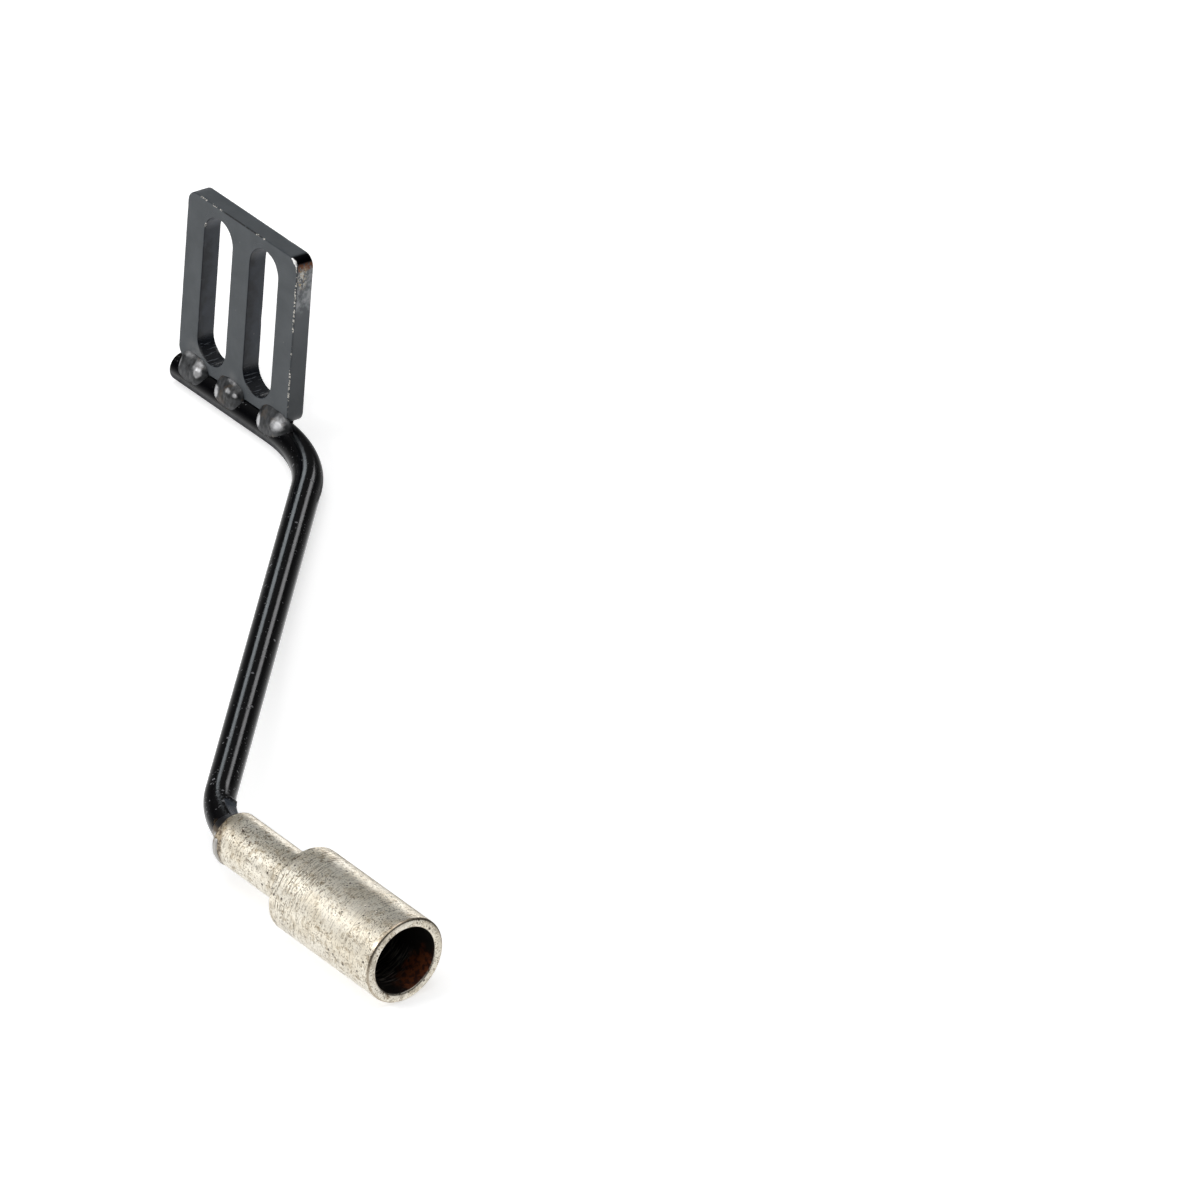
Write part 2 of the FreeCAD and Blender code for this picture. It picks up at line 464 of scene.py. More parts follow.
def bead_paint():
    """Thin black over weld metal, with pale metal patches painted where the beads glint: painted
    highlights.
    """
    g = Graph("weld_black")
    lumps = g.noise(0.9, 4.0, 0.6)
    base = g.blend(g.patches(1.4, 4.0, 0.40, 0.62), (0.006, 0.007, 0.008), (0.032, 0.034, 0.037))
    soot = g.patches(2.4, 3.0, 0.56, 0.64)
    base = g.blend(g.mask(soot, 0.5), base, (0.060, 0.042, 0.026))
    # Painted highlight: the pale metal below is painted where the beads catch light.
    painted_glint = g.affine(g.noise(0.7, 4.0, 0.6), 0.6, g.attribute("painted_glint"))
    glint_mask = g.fade(painted_glint, 0.42, 1.20)
    g.set("Base Color", g.blend(glint_mask, base, (0.56, 0.56, 0.57)))
    g.set("Metallic", g.mask(glint_mask, 0.65))
    g.set("Roughness", g.span(g.fade(lumps, 0.35, 0.65), 0.30, 0.56))
    g.set("IOR", 1.5)
    normal = g.bump(g.noise(0.5, 3.0), 0.02)
    g.set("Normal", g.bump(glint_mask, 0.02, normal))
    return g.material


# The socket's weld wraps over the shank's end on the side that faces down and toward the jog
WRAP_LOW = 0.8 * MM
WRAP_HIGH = 3.2 * MM
WRAP_REACH = 1.7 * MM
WRAP_SIDE = Vector((0.0, -0.82, -0.57))

# Darker blotches and grains are painted along this side of the shank, just off its top: painted shade
PAINTED_SHADE_SIDE = Vector((0.0, -0.42, 0.91))


def socket_weld_finish():
    """Weld metal: painted over on top, bare below toward the jog, heat-tinted and pitted between."""
    g = Graph("weld_bare_metal")
    lumps = g.noise(1.4, 4.0, 0.6)
    tint = g.patches(1.6, 3.0, 0.54, 0.66)
    colour = g.blend(tint, (0.46, 0.445, 0.42), (0.24, 0.17, 0.10))
    pits = g.fade(g.dots(1.1), 0.22, 0.14)
    colour = g.blend(pits, colour, (0.02, 0.018, 0.015))
    climb = g.affine(g.noise(1.2, 3.0), 1.6 * MM, g.reach((0.0, 0.75, 1.0)))
    painted = g.fade_mm(climb, -0.9, -0.1)
    edge_of_paint = g.mask(painted, g.fade_mm(climb, 1.2, 0.3))
    colour = g.blend(painted, colour, (0.004, 0.004, 0.005))
    colour = g.blend(g.mask(edge_of_paint, 0.8), colour, BURNT_BROWN)
    g.set("Base Color", colour)
    g.set("Metallic", g.affine(painted, -0.35, 0.35))
    g.set("Roughness", g.span(lumps, 0.30, 0.5))
    normal = g.bump(lumps, 0.08)
    g.set("Normal", g.bump(pits, -0.08, normal))
    return g.material


def socket_plating():
    """Dull nickel plating over turned steel: mottled, pitted, stained by the weld, rusty in the bore, with
    painted shade on the shank's upper side and in the bore.
    """
    g = Graph("socket_nickel")
    along = g.reach(X_AXIS)
    off_axis = g.distance((0.0, SOCKET_BASE.y, SOCKET_BASE.z), g.stretched(0.0, 1.0, 1.0))

    mottle = g.noise(1.1, 5.0, 0.65)
    cloud = g.noise(6, 3.0)
    grain = g.noise(0.34, 3.0, 0.6)
    streaks = g.noise(0.24, 3.0, 0.6, vector=g.stretched(1.0, 0.10, 0.10))
    turned = g.noise(0.16, 2.0, vector=g.stretched(1.0, 0.06, 0.06))

    dirt_and_shade = g.patches(5, 4.0, 0.36, 0.62, 0.6)
    # Painted shade: more dark blotches and grains along the shank's side just off its top, on top of the
    # dirt.
    painted_shade = g.fade(g.reach(PAINTED_SHADE_SIDE), 0.66 * SHANK_R, 0.95 * SHANK_R)
    dirt_and_shade = g.maths("MAXIMUM", dirt_and_shade, g.mask(painted_shade, g.fade(off_axis, CUP_R, SHANK_R)))
    colour = g.blend(g.fade(cloud, 0.35, 0.65), (0.97, 0.92, 0.80), (0.87, 0.80, 0.66))
    blotches = g.mask(g.fade(mottle, 0.50, 0.64), g.span(dirt_and_shade, 0.25, 0.75))
    colour = g.blend(blotches, colour, (0.44, 0.35, 0.22))
    grains = g.mask(g.fade(grain, 0.54, 0.64), g.span(dirt_and_shade, 0.40, 1.0))
    colour = g.blend(grains, colour, (0.15, 0.105, 0.06))
    past_step = g.maths("SUBTRACT", along, SHANK_L)
    shoulder = g.mask(g.fade(past_step, -MM, MM), g.fade_mm(past_step, 11, 4))
    streaked = g.mask(g.fade(streaks, 0.53, 0.62), g.span(shoulder, 0.40, 0.95))
    colour = g.blend(streaked, colour, (0.19, 0.145, 0.09))
    pits = g.mask(g.fade(g.dots(1.5), 0.20, 0.12), g.patches(3.5, 2.0, 0.47, 0.56))
    colour = g.blend(g.mask(pits, 0.9), colour, (0.07, 0.05, 0.035))

    wrap = g.fade(g.reach(WRAP_SIDE), WRAP_LOW, WRAP_HIGH)
    from_weld = g.affine(wrap, -WRAP_REACH, along)
    ragged = g.affine(g.noise(1.1, 4.0, 0.6), -1.5 * MM, from_weld)
    end_strip = g.fade_mm(ragged, 0.45, -0.1)
    tinted = g.fade_mm(g.affine(g.noise(2.5, 4.0), -4 * MM, along), 1.6, -0.6)
    colour = g.blend(g.mask(tinted, 0.50), colour, (0.36, 0.29, 0.19))
    strip_pits = g.patches(0.55, 3.0, 0.46, 0.56, 0.6)
    strip_colour = g.blend(strip_pits, (0.46, 0.37, 0.25), (0.07, 0.045, 0.025))
    end_strip = g.mask(end_strip, g.fade_mm(g.reach(WRAP_SIDE), -2.6, -0.6))
    colour = g.blend(g.mask(end_strip, 0.85), colour, strip_colour)

    rim_edge = g.mask(g.fade(along, SOCKET_L - 0.55 * MM, SOCKET_L - 0.35 * MM),
                      g.fade(off_axis, CUP_R - 0.42 * MM, CUP_R - 0.22 * MM))
    colour = g.blend(g.mask(rim_edge, 0.6), colour, (0.30, 0.22, 0.14))

    # Painted shade: the bore's wall is painted near black and made dull, under its ring marks and rust.
    inside = g.mask(g.fade(off_axis, BORE_R + 0.12 * MM, BORE_R + 0.02 * MM), g.fade(past_step, 0.0, MM))
    ring_marks = g.noise(0.30, 3.0, vector=g.stretched(1.0, 0.10, 0.10))
    scored = g.mask(g.fade(ring_marks, 0.46, 0.66), g.fade_mm(g.reach(-Z_AXIS), 1.5, 5.0))
    scored = g.mask(scored, g.fade(along, SOCKET_L - 2 * MM, SOCKET_L - 6 * MM))
    bore_colour = g.blend(scored, (0.014, 0.012, 0.011), (0.26, 0.24, 0.21))
    rust_spot = SOCKET_BASE + Vector((SOCKET_L - 1.5 * MM, 4.6 * MM, -4.8 * MM))
    rust_edge = g.affine(g.noise(1.6, 4.0, 0.6), 5 * MM, g.distance(rust_spot))
    rust = g.fade_mm(rust_edge, 8.0, 5.2)
    rust_colour = g.blend(g.patches(0.9, 4.0, 0.4, 0.6), (0.045, 0.007, 0.002), (0.18, 0.045, 0.009))
    bore_colour = g.blend(rust, bore_colour, rust_colour)
    colour = g.blend(inside, colour, bore_colour)

    g.set("Base Color", colour)
    dull = g.maths("MAXIMUM", inside, g.mask(end_strip, 0.6))
    g.set("Metallic", g.affine(dull, -0.8, 1.0))
    rough = g.span(mottle, 0.26, 0.46)
    g.set("Roughness", g.affine(g.mask(rust, inside), 0.3, rough))
    normal = g.bump(turned, 0.010)
    normal = g.bump(grain, 0.016, normal)
    normal = g.bump(mottle, 0.030, normal)
    normal = g.bump(g.maths("MAXIMUM", pits, end_strip), -0.06, normal)
    g.set("Normal", normal)
    return g.material


# ---- Plate ----
PLATE_EDGE_R = 0.17 * MM
PLATE_MARGIN = 1.0 * MM
PLATE_STEP = 0.6 * MM
PLATE_GRID = 0.95 * MM
PLATE_SIDE_RUNS = 50
ARC_STEPS = 10


def arc_points(centre_x, centre_z, radius, start_deg, end_deg, count):
    """Points on an arc, the last one left out."""
    points = []
    for k in range(count):
        angle = math.radians(start_deg + (end_deg - start_deg) * k / count)
        points.append((centre_x + radius * math.cos(angle), centre_z + radius * math.sin(angle)))
    return points


def run_points(start, end, count):
    """Points on a straight run, the last one left out."""
    return [tuple(Vector(start).lerp(Vector(end), k / count)) for k in range(count)]


def plate_outline(inset):
    """The plate's rounded rectangle, moved into the metal by an inset."""
    radius = max(PLATE_CORNER_R - inset, 0.05 * MM)
    left = plate_lo.x + inset + radius
    right = plate_hi.x - inset - radius
    low = plate_lo.z + inset + radius
    high = plate_hi.z - inset - radius
    points = []
    corners = ((right, high, 0), (left, high, 90), (left, low, 180), (right, low, 270))
    for i, (cx, cz, start) in enumerate(corners):
        points += arc_points(cx, cz, radius, start, start + 90, ARC_STEPS)
        nx, nz = corners[(i + 1) % 4][0:2]
        angle = math.radians(start + 90)
        out_x = radius * math.cos(angle)
        out_z = radius * math.sin(angle)
        points += run_points((cx + out_x, cz + out_z), (nx + out_x, nz + out_z), PLATE_SIDE_RUNS)
    return points


def slot_outline(centre_x, grow):
    """One slot's outline, moved into the metal around it."""
    radius = SLOT_R + grow
    half = SLOT_L / 2 - SLOT_R
    runs = round(2 * half / PLATE_STEP)
    points = arc_points(centre_x, half, radius, 0, 180, 3 * ARC_STEPS)
    points += run_points((centre_x - radius, half), (centre_x - radius, -half), runs)
    points += arc_points(centre_x, -half, radius, 180, 360, 3 * ARC_STEPS)
    points += run_points((centre_x + radius, -half), (centre_x + radius, half), runs)
    return points


def edge_profile():
    """Rows from one face's margin over the rounded edge, along the wall and to the other face's margin.

    Each row is (inset, depth, wear): how far into the metal, how deep from the first face, how exposed."""
    thickness = plate_hi.y - plate_lo.y
    near = [(PLATE_MARGIN, 0.0, 0.0), (PLATE_EDGE_R * 1.6, 0.0, 0.25)]
    for k in range(5):
        angle = math.radians(90 * k / 4)
        inset = PLATE_EDGE_R * (1 - math.sin(angle))
        depth = PLATE_EDGE_R * (1 - math.cos(angle))
        near.append((inset, depth, 1.0))
    near.append((0.0, PLATE_EDGE_R * 1.6, 0.25))
    depths = steps_between(PLATE_MARGIN, thickness - PLATE_MARGIN, PLATE_STEP)
    walls = [(0.0, depth, 0.0) for depth in depths]
    far = [(inset, thickness - depth, wear) for inset, depth, wear in reversed(near)]
    return near + walls + far


def in_metal(x, z, margin):
    """True inside the plate's outline and outside its slots, by a margin."""
    if not plate_lo.x + margin < x < plate_hi.x - margin:
        return False
    if not plate_lo.z + margin < z < plate_hi.z - margin:
        return False
    half = SLOT_L / 2 - SLOT_R
    for centre_x in SLOT_X:
        nearest = max(-half, min(half, z))
        if math.hypot(x - centre_x, z - nearest) < SLOT_R + margin:
            return False
    return True


def cap_face(bm, loops, outlines, y):
    """Fills the flat face between its margin loops with small triangles."""
    points = []
    edges = []
    owners = []
    for loop, outline in zip(loops, outlines):
        start = len(points)
        for vert, point in zip(loop, outline):
            points.append(Vector(point) / MM)
            owners.append(vert)
        count = len(loop)
        edges += [(start + i, start + (i + 1) % count) for i in range(count)]
    for row, z in enumerate(steps_between(plate_lo.z, plate_hi.z, PLATE_GRID)):
        shift = PLATE_GRID / 2 if row % 2 else 0.0
        for x in steps_between(plate_lo.x, plate_hi.x, PLATE_GRID):
            if in_metal(x + shift, z, PLATE_MARGIN + PLATE_GRID * 0.55):
                points.append(Vector((x + shift, z)) / MM)
                owners.append(bm.verts.new((x + shift, y, z)))
    found = delaunay_2d_cdt(points, edges, [], 0, 1e-6)
    places, faces, origins = found[0], found[2], found[3]
    for face in faces:
        centre = sum((places[i] for i in face), Vector((0, 0))) / len(face) * MM
        if in_metal(centre.x, centre.y, PLATE_MARGIN * 0.98):
            bm.faces.new([owners[origins[i][0]] for i in face])


def make_plate(material):
    bm = bmesh.new()
    wear_layer = bm.verts.layers.float.new("edge_wear")
    wall_layer = bm.verts.layers.float.new("slot_wall")
    profile = edge_profile()
    shapes = [plate_outline] + [lambda grow, cx=cx: slot_outline(cx, grow) for cx in SLOT_X]
    near_loops = []
    far_loops = []
    for shape in shapes:
        rows = []
        for inset, depth, wear in profile:
            row = [bm.verts.new((x, plate_lo.y + depth, z)) for x, z in shape(inset)]
            for vert in row:
                vert[wear_layer] = wear
                vert[wall_layer] = 1.0 if shape is not plate_outline and inset < PLATE_EDGE_R * 0.5 else 0.0
            rows.append(row)
        for first, second in zip(rows, rows[1:]):
            join_rows(bm, first, second)
        near_loops.append(rows[0])
        far_loops.append(rows[-1])
    outlines = [shape(PLATE_MARGIN) for shape in shapes]
    cap_face(bm, near_loops, outlines, plate_lo.y)
    cap_face(bm, far_loops, outlines, plate_hi.y)
    for vert in bm.verts:
        place = vert.co.copy()
        inward = 0.018 * MM * (wave(place, 7 * MM, 1.0) - 1.0)
        middle = (plate_lo.y + plate_hi.y) / 2
        vert.co.y += math.copysign(1, place.y - middle) * inward
        if vert[wear_layer] > 0.5:
            nick = max(0.0, wave(place, 1.7 * MM, 4.0) - 0.25)
            centre = Vector((0, middle, 0))
            vert.co += (centre - place).normalized() * nick * 0.16 * MM
    return finish_mesh(bm, "plate_with_slots", material, "slotted_plate")


# ---- Rod ----
ROD_SIDES = 72
ROD_STEP = 0.8 * MM
ROD_END_STEP = 0.3 * MM
ROD_CHAMFER = 0.5 * MM


def heading(degrees):
    """A level direction, turned from +X toward the jog."""
    angle = math.radians(degrees)
    return Vector((math.cos(angle), -math.sin(angle), 0))


def bend_offset(start_deg, end_deg, radius):
    """How far a bend between two headings carries the centreline."""
    start = math.radians(start_deg)
    end = math.radians(end_deg)
    change = Vector((math.sin(end) - math.sin(start), math.cos(end) - math.cos(start), 0))
    return change * math.copysign(radius, end - start)


def add_run(stations, degrees, length, step):
    """Carries a route straight on."""
    place = stations[-1][0]
    for along in steps_between(0.0, length, step)[1:]:
        stations.append((place + heading(degrees) * along, degrees))


def add_bend(stations, start_deg, end_deg, radius, step):
    """Carries a route round a bend."""
    place = stations[-1][0]
    for turn in steps_between(start_deg, end_deg, math.degrees(step / radius))[1:]:
        stations.append((place + bend_offset(start_deg, turn, radius), turn))


def rod_stations():
    """Points along the rod's centreline with the heading at each. The crossing is as long as it must be."""
    rest = bend_offset(0.0, BEND_1_DEG, BEND_1_R) + bend_offset(BEND_1_DEG, ROD_END_DEG, BEND_2_R)
    rest += heading(ROD_END_DEG) * ROD_TAIL
    cross_length = (ROD_Y - SOCKET_BASE.y + rest.y) / math.sin(math.radians(BEND_1_DEG))
    rest += heading(BEND_1_DEG) * cross_length
    stations = [(Vector((rod_lo.x, ROD_Y, ROD_Z)), 0.0)]
    add_run(stations, 0.0, SOCKET_BASE.x - rest.x - rod_lo.x, ROD_STEP)
    add_bend(stations, 0.0, BEND_1_DEG, BEND_1_R, ROD_STEP)
    add_run(stations, BEND_1_DEG, cross_length, ROD_STEP)
    add_bend(stations, BEND_1_DEG, ROD_END_DEG, BEND_2_R, ROD_END_STEP)
    add_run(stations, ROD_END_DEG, ROD_TAIL, ROD_END_STEP)
    return stations


def ring(bm, place, degrees, radius):
    """A ring of vertices across the rod."""
    return [bm.verts.new(place + side * radius) for side in sides_round(heading(degrees), ROD_SIDES)]


# A flat cut near the rod's end, with a torn lip of enamel above it: the direction it faces (degrees
# up from the side away from the jog), how far back it reaches, and its depth
CUT_FACING_DEG = 48.0
CUT_START = 9.6 * MM
CUT_DEPTH = 0.55 * MM
LIP_LENGTH = 1.1 * MM
LIP_HEIGHT = 0.32 * MM


def cut_rod_end(vert, place, degrees, back, cut_layer):
    """Presses one vertex down to the flat cut, or lifts it into the torn lip above the cut."""
    side = Z_AXIS.cross(heading(degrees))
    facing = math.radians(CUT_FACING_DEG)
    outward = side * math.cos(facing) + Z_AXIS * math.sin(facing)
    offset = vert.co - place
    height = offset.dot(outward)
    across = offset.dot(heading(degrees).cross(outward)) / ROD_R
    edge = CUT_START + 0.7 * MM * wave(Vector((across * 2.2, 0.0, 3.1)), 1.0, 5.0) - 1.1 * MM * across
    if back < edge:
        ramp = min(1.0, (edge - back) / (0.35 * MM))
        limit = ROD_R - CUT_DEPTH * ramp
        if height > limit:
            vert.co -= outward * (height - limit)
            vert[cut_layer] = ramp
    elif back < edge + LIP_LENGTH and height > ROD_R * 0.72:
        swell = 1.0 - (back - edge) / LIP_LENGTH
        reach = (height / ROD_R - 0.72) / 0.28
        ragged = 0.8 + 0.9 * wave(Vector((across * 7.0, 1.7, 0.0)), 1.0, 8.0)
        vert.co += outward * LIP_HEIGHT * swell * min(1.0, 2.0 * reach) * ragged


def make_rod(material):
    bm = bmesh.new()
    cut_layer = bm.verts.layers.float.new("cut_face")
    stations = rod_stations()
    start, start_deg = stations[0]
    rows = []
    inner = ROD_R - ROD_CHAMFER
    for radius, along in ((inner * 0.4, 0.02), (inner * 0.8, 0.0), (inner, 0.02)):
        rows.append(ring(bm, start + X_AXIS * along * MM, start_deg, radius))
    for k in range(1, 5):
        angle = math.radians(90 * k / 4)
        radius = inner + ROD_CHAMFER * math.sin(angle)
        along = ROD_CHAMFER * (1 - math.cos(angle))
        rows.append(ring(bm, start + X_AXIS * along, start_deg, radius))
    for place, degrees in stations:
        if place.x > start.x + ROD_CHAMFER * 1.5:
            rows.append(ring(bm, place, degrees, ROD_R))
            back = (SOCKET_BASE - place).length
            if back < CUT_START + LIP_LENGTH + 4 * MM:
                for vert in rows[-1]:
                    cut_rod_end(vert, place, degrees, back, cut_layer)
    for first, second in zip(rows, rows[1:]):
        join_rows(bm, first, second)
    direction = heading(stations[-1][1])
    for row in rows[-8:]:
        for vert in row:
            beyond = vert.co.x - SOCKET_BASE.x
            if beyond > 0 or row is rows[-1]:
                vert.co -= direction * (beyond / direction.x)
    for vert in bm.verts:
        place = vert.co.copy()
        if rod_lo.x + MM < place.x < SOCKET_BASE.x - 0.5 * MM:
            vert.co.z += 0.012 * MM * wave(place, 9 * MM, 2.0)
    fan(bm, rows[0], start + X_AXIS * 0.02 * MM)
    fan(bm, rows[-1], SOCKET_BASE)
    return finish_mesh(bm, "bent_round_rod", material, "bent_rod")


# ---- Socket ----
SOCKET_SIDES = 144


def make_socket(material):
    """The turned socket: a rounded outline carried round its axis."""
    floor = SOCKET_L - BORE_DEPTH
    tip = BORE_R * math.tan(math.radians(DRILL_POINT_DEG))
    corners = [
        (0.0, 0.0),
        (0.0, SHANK_R),
        (SHANK_L, SHANK_R),
        (SHANK_L, CUP_R),
        (SOCKET_L, CUP_R),
        (SOCKET_L, BORE_R),
        (floor, BORE_R),
        (floor - tip, 0.0),
    ]
    radii = [0.7 * MM, 0.35 * MM, 0.35 * MM, 0.45 * MM, 0.4 * MM, 0.3 * MM]
    outline = divided(rounded_outline(corners, radii), 1.2 * MM)
    bm = bmesh.new()
    rows = []
    sides = sides_round(X_AXIS, SOCKET_SIDES)
    for along, radius in outline[1:-1]:
        centre = SOCKET_BASE + X_AXIS * along
        rows.append([bm.verts.new(centre + side * radius) for side in sides])
    for first, second in zip(rows, rows[1:]):
        join_rows(bm, first, second)
    fan(bm, rows[0], SOCKET_BASE)
    fan(bm, rows[-1], SOCKET_BASE + X_AXIS * (floor - tip))
    return finish_mesh(bm, "turned_socket", material, "stepped_socket")


# ---- Welds ----
BEAD_ACROSS = 26
BEAD_STEP = 0.22 * MM
SEAM_Z = plate_lo.z

# Each front bead's puddles and painted glints, and those that the back beads share: see make_bead
FRONT_PUDDLES = (
    ((-0.50, 0.20, 0.45, 0.35, 0.15), (0.35, 0.50, 0.45, 0.35, 0.35)),
    ((-0.78, 0.68, 0.22, 0.40, 0.35), (0.35, 0.38, 0.55, 0.30, 0.35)),
    ((-0.80, 0.66, 0.18, 0.42, 0.40), (0.35, 0.42, 0.50, 0.38, 0.45)),
)
FRONT_PAINTED_GLINTS = (
    ((-0.40, 0.06, 0.55, 0.16, 0.45), (0.45, 0.26, 0.35, 0.32, 0.50), (0.60, 0.52, 0.20, 0.24, 0.7),
     (-0.84, 0.60, 0.12, 0.30, 0.9)),
    ((-0.74, 0.72, 0.24, 0.30, 1.1), (0.15, 0.36, 0.24, 0.12, 0.6), (0.65, 0.40, 0.16, 0.12, 0.7),
     (0.10, 0.04, 0.40, 0.12, 0.4)),
    ((-0.76, 0.70, 0.22, 0.32, 1.1), (0.44, 0.34, 0.42, 0.36, 0.55), (0.50, 0.40, 0.20, 0.16, 0.30)),
)
BACK_PUDDLES = ((-0.45, 0.5, 0.4, 0.4, 0.3), (0.3, 0.45, 0.5, 0.4, 0.4))
BACK_PAINTED_GLINTS = ((0.35, 0.45, 0.30, 0.22, 0.55), (-0.7, 0.6, 0.18, 0.25, 0.5))


def rod_surface(side, angle, depth=0.0):
    """A point on the first section's skin, as (y, z): angle from its top toward a side, depth into it."""
    radius = ROD_R - depth
    return Vector((ROD_Y + side * radius * math.sin(angle), ROD_Z + radius * math.cos(angle)))


def bead_section(side, share, reach_up, reach_round, bulge):
    """The bead's skin across the seam at one place, from the plate toe to the rod toe, as (y, z) points.

    It lies nearly flush with the rod at its toe. A larger bulge, a share of its width, fills it out."""
    face_y = plate_lo.y if side < 0 else plate_hi.y
    toe = Vector((face_y, SEAM_Z + reach_up * share + 0.02 * MM))
    angle = seam_angle(side) + reach_round * share
    foot = rod_surface(side, angle)
    leave = Vector((side * 0.55, -0.83))
    normal = Vector((side * math.sin(angle), math.cos(angle)))
    uphill = Vector((-side * math.cos(angle), math.sin(angle)))
    arrive = (uphill + normal * 0.12).normalized()
    stretch = bulge * (toe - foot).length
    return interpolate_bezier(toe, toe + leave * stretch, foot + arrive * stretch, foot, BEAD_ACROSS + 1)


def seam_angle(side):
    """Where the weld's seam runs on the rod's skin, in radians from its top."""
    if side < 0:
        return math.asin((ROD_Y - plate_lo.y) / ROD_R)
    return math.radians(58)


def blob(along, across, spot):
    """How strongly a spot (along, across, half length, half width, strength) is felt at a place, 0 to 1."""
    x, t, half_length, half_width = spot[0:4]
    away = ((along - x) / half_length) ** 2 + ((across - t) / half_width) ** 2
    return math.exp(-1.6 * away * away)


def make_bead(node, name, side, puddles, painted_glints, material):
    """One weld bead, laid in the corner between plate and rod.

    Puddles raise its skin. Glints are pale metal patches painted where the bead catches light: painted
    highlights. Both are (along, across, half length, half width, strength), along from -1 to 1 and across
    from 0 at the plate toe to 1 at the rod toe."""
    lo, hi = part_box(node)
    centre = (lo.x + hi.x) / 2
    half = (hi.x - lo.x) / 2
    reach_up = hi.z - SEAM_Z
    low = (ROD_Z - lo.z) / ROD_R
    foot_angle = math.radians(90) + math.asin(max(-0.9, min(0.9, low)))
    reach_round = foot_angle - seam_angle(side)
    bulge = 0.42 if side < 0 else 0.45
    face_y = plate_lo.y if side < 0 else plate_hi.y
    seed = centre / MM

    bm = bmesh.new()
    glint_layer = bm.verts.layers.float.new("painted_glint")
    rows = []
    for x in steps_between(-half, half, BEAD_STEP):
        along = x / half
        wander = 1.0 - 0.16 * max(0.0, wave(Vector((x, 0, 0)), 2.0 * MM, seed))
        share = max(0.02, 1 - abs(along) ** 3.2) ** 0.6 * wander
        section = bead_section(side, share, reach_up, reach_round, bulge)
        row = []
        for k, point in enumerate(section):
            t = k / BEAD_ACROSS
            before = section[max(k - 1, 0)]
            after = section[min(k + 1, BEAD_ACROSS)]
            tangent = (after - before).normalized()
            normal = Vector((tangent.y, -tangent.x)) * -side
            inner = math.sin(math.pi * t) ** 0.6
            lift = sum(puddle[4] * MM * blob(along, t, puddle) for puddle in puddles)
            chevron = 2 * math.pi * (x / (0.95 * MM) + 1.6 * (t - 0.5) ** 2)
            ripple = 0.035 * MM * math.sin(chevron + seed)
            place = Vector((centre + x, point.x, point.y))
            rough = 0.10 * MM * wave(place, 1.9 * MM, seed) + 0.07 * MM * wave(place, 0.8 * MM, seed + 3)
            point = point + normal * (lift + ripple + rough) * inner * share
            vert = bm.verts.new((centre + x, point.x, point.y))
            # Painted highlight: how strongly each place is painted as a glint.
            vert[glint_layer] = min(1.0, sum(glint_spot[4] * blob(along, t, glint_spot) for glint_spot in painted_glints))
            row.append(vert)
        under = 0.35 * MM
        deep_foot = rod_surface(side, seam_angle(side) + reach_round * share, under)
        deep_seam = Vector((face_y - side * under, SEAM_Z - 0.2 * MM))
        deep_toe = Vector((face_y - side * under, section[0].y))
        for point in (deep_foot, deep_seam, deep_toe):
            row.append(bm.verts.new((centre + x, point.x, point.y)))
        rows.append(row)
    for first, second in zip(rows, rows[1:]):
        join_rows(bm, first, second)
    bm.faces.new(rows[0])
    bm.faces.new(list(reversed(rows[-1])))
    return finish_mesh(bm, name, material, node)


def make_rod_weld(material):
    """The fillet round the rod where it meets the flat end of the socket's shank."""
    direction = heading(ROD_END_DEG)
    lo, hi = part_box("weld_rod_to_socket")
    outer = (hi.z - lo.z) / 2
    length = 3.0 * MM
    sides = sides_round(direction, ROD_SIDES)
    bm = bmesh.new()
    rows = []
    for share in steps_between(0.0, 1.0, 0.07):
        radius = ROD_R + 0.05 * MM + (outer - ROD_R - 0.15 * MM) * share ** 1.7
        row = []
        for side in sides:
            place = SOCKET_BASE - direction * length * (1 - share) + side * radius
            lump = 0.22 * MM * share * wave(place, 2.2 * MM, 7.0)
            place += side * lump
            gap = SOCKET_BASE.x - place.x
            place += X_AXIS * gap * share ** 3
            place.x = min(place.x, SOCKET_BASE.x)
            row.append(bm.verts.new(place))
        rows.append(row)
    # (radius, along) of each row beyond the shank's end, where the weld wraps it. Elsewhere it roots in it.
    root = outer - 0.15 * MM
    wrapped = ((SHANK_R - 0.35 * MM, -0.08), (SHANK_R - 0.02 * MM, 0.20), (SHANK_R + 0.14 * MM, 0.65),
               (SHANK_R + 0.07 * MM, 1.0), (SHANK_R - 0.40 * MM, 1.05))
    for step, (radius, along) in enumerate(wrapped, start=1):
        row = []
        for slanted in sides:
            side = Vector((0.0, slanted.y, slanted.z)).normalized()
            reach = SHANK_R * side.dot(WRAP_SIDE)
            wrap = max(0.0, min(1.0, (reach - WRAP_LOW) / (WRAP_HIGH - WRAP_LOW)))
            ragged = 1.0 + 0.25 * wave(side * SHANK_R, 1.6 * MM, 9.0)
            lump = 0.10 * MM * wave(side * SHANK_R + X_AXIS * along * MM, 1.3 * MM, 6.0)
            here_radius = (root - 0.2 * MM * step) * (1 - wrap) + (radius + lump) * wrap
            here_along = 0.1 * MM * step * (1 - wrap) + WRAP_REACH * along * ragged * wrap
            row.append(bm.verts.new(SOCKET_BASE + X_AXIS * here_along + side * here_radius))
        rows.append(row)
    for first, second in zip(rows, rows[1:]):
        join_rows(bm, first, second)
    fan(bm, rows[0], SOCKET_BASE - direction * length)
    fan(bm, rows[-1], SOCKET_BASE + X_AXIS * 0.8 * MM)
    return finish_mesh(bm, "socket_weld", material, "weld_rod_to_socket")


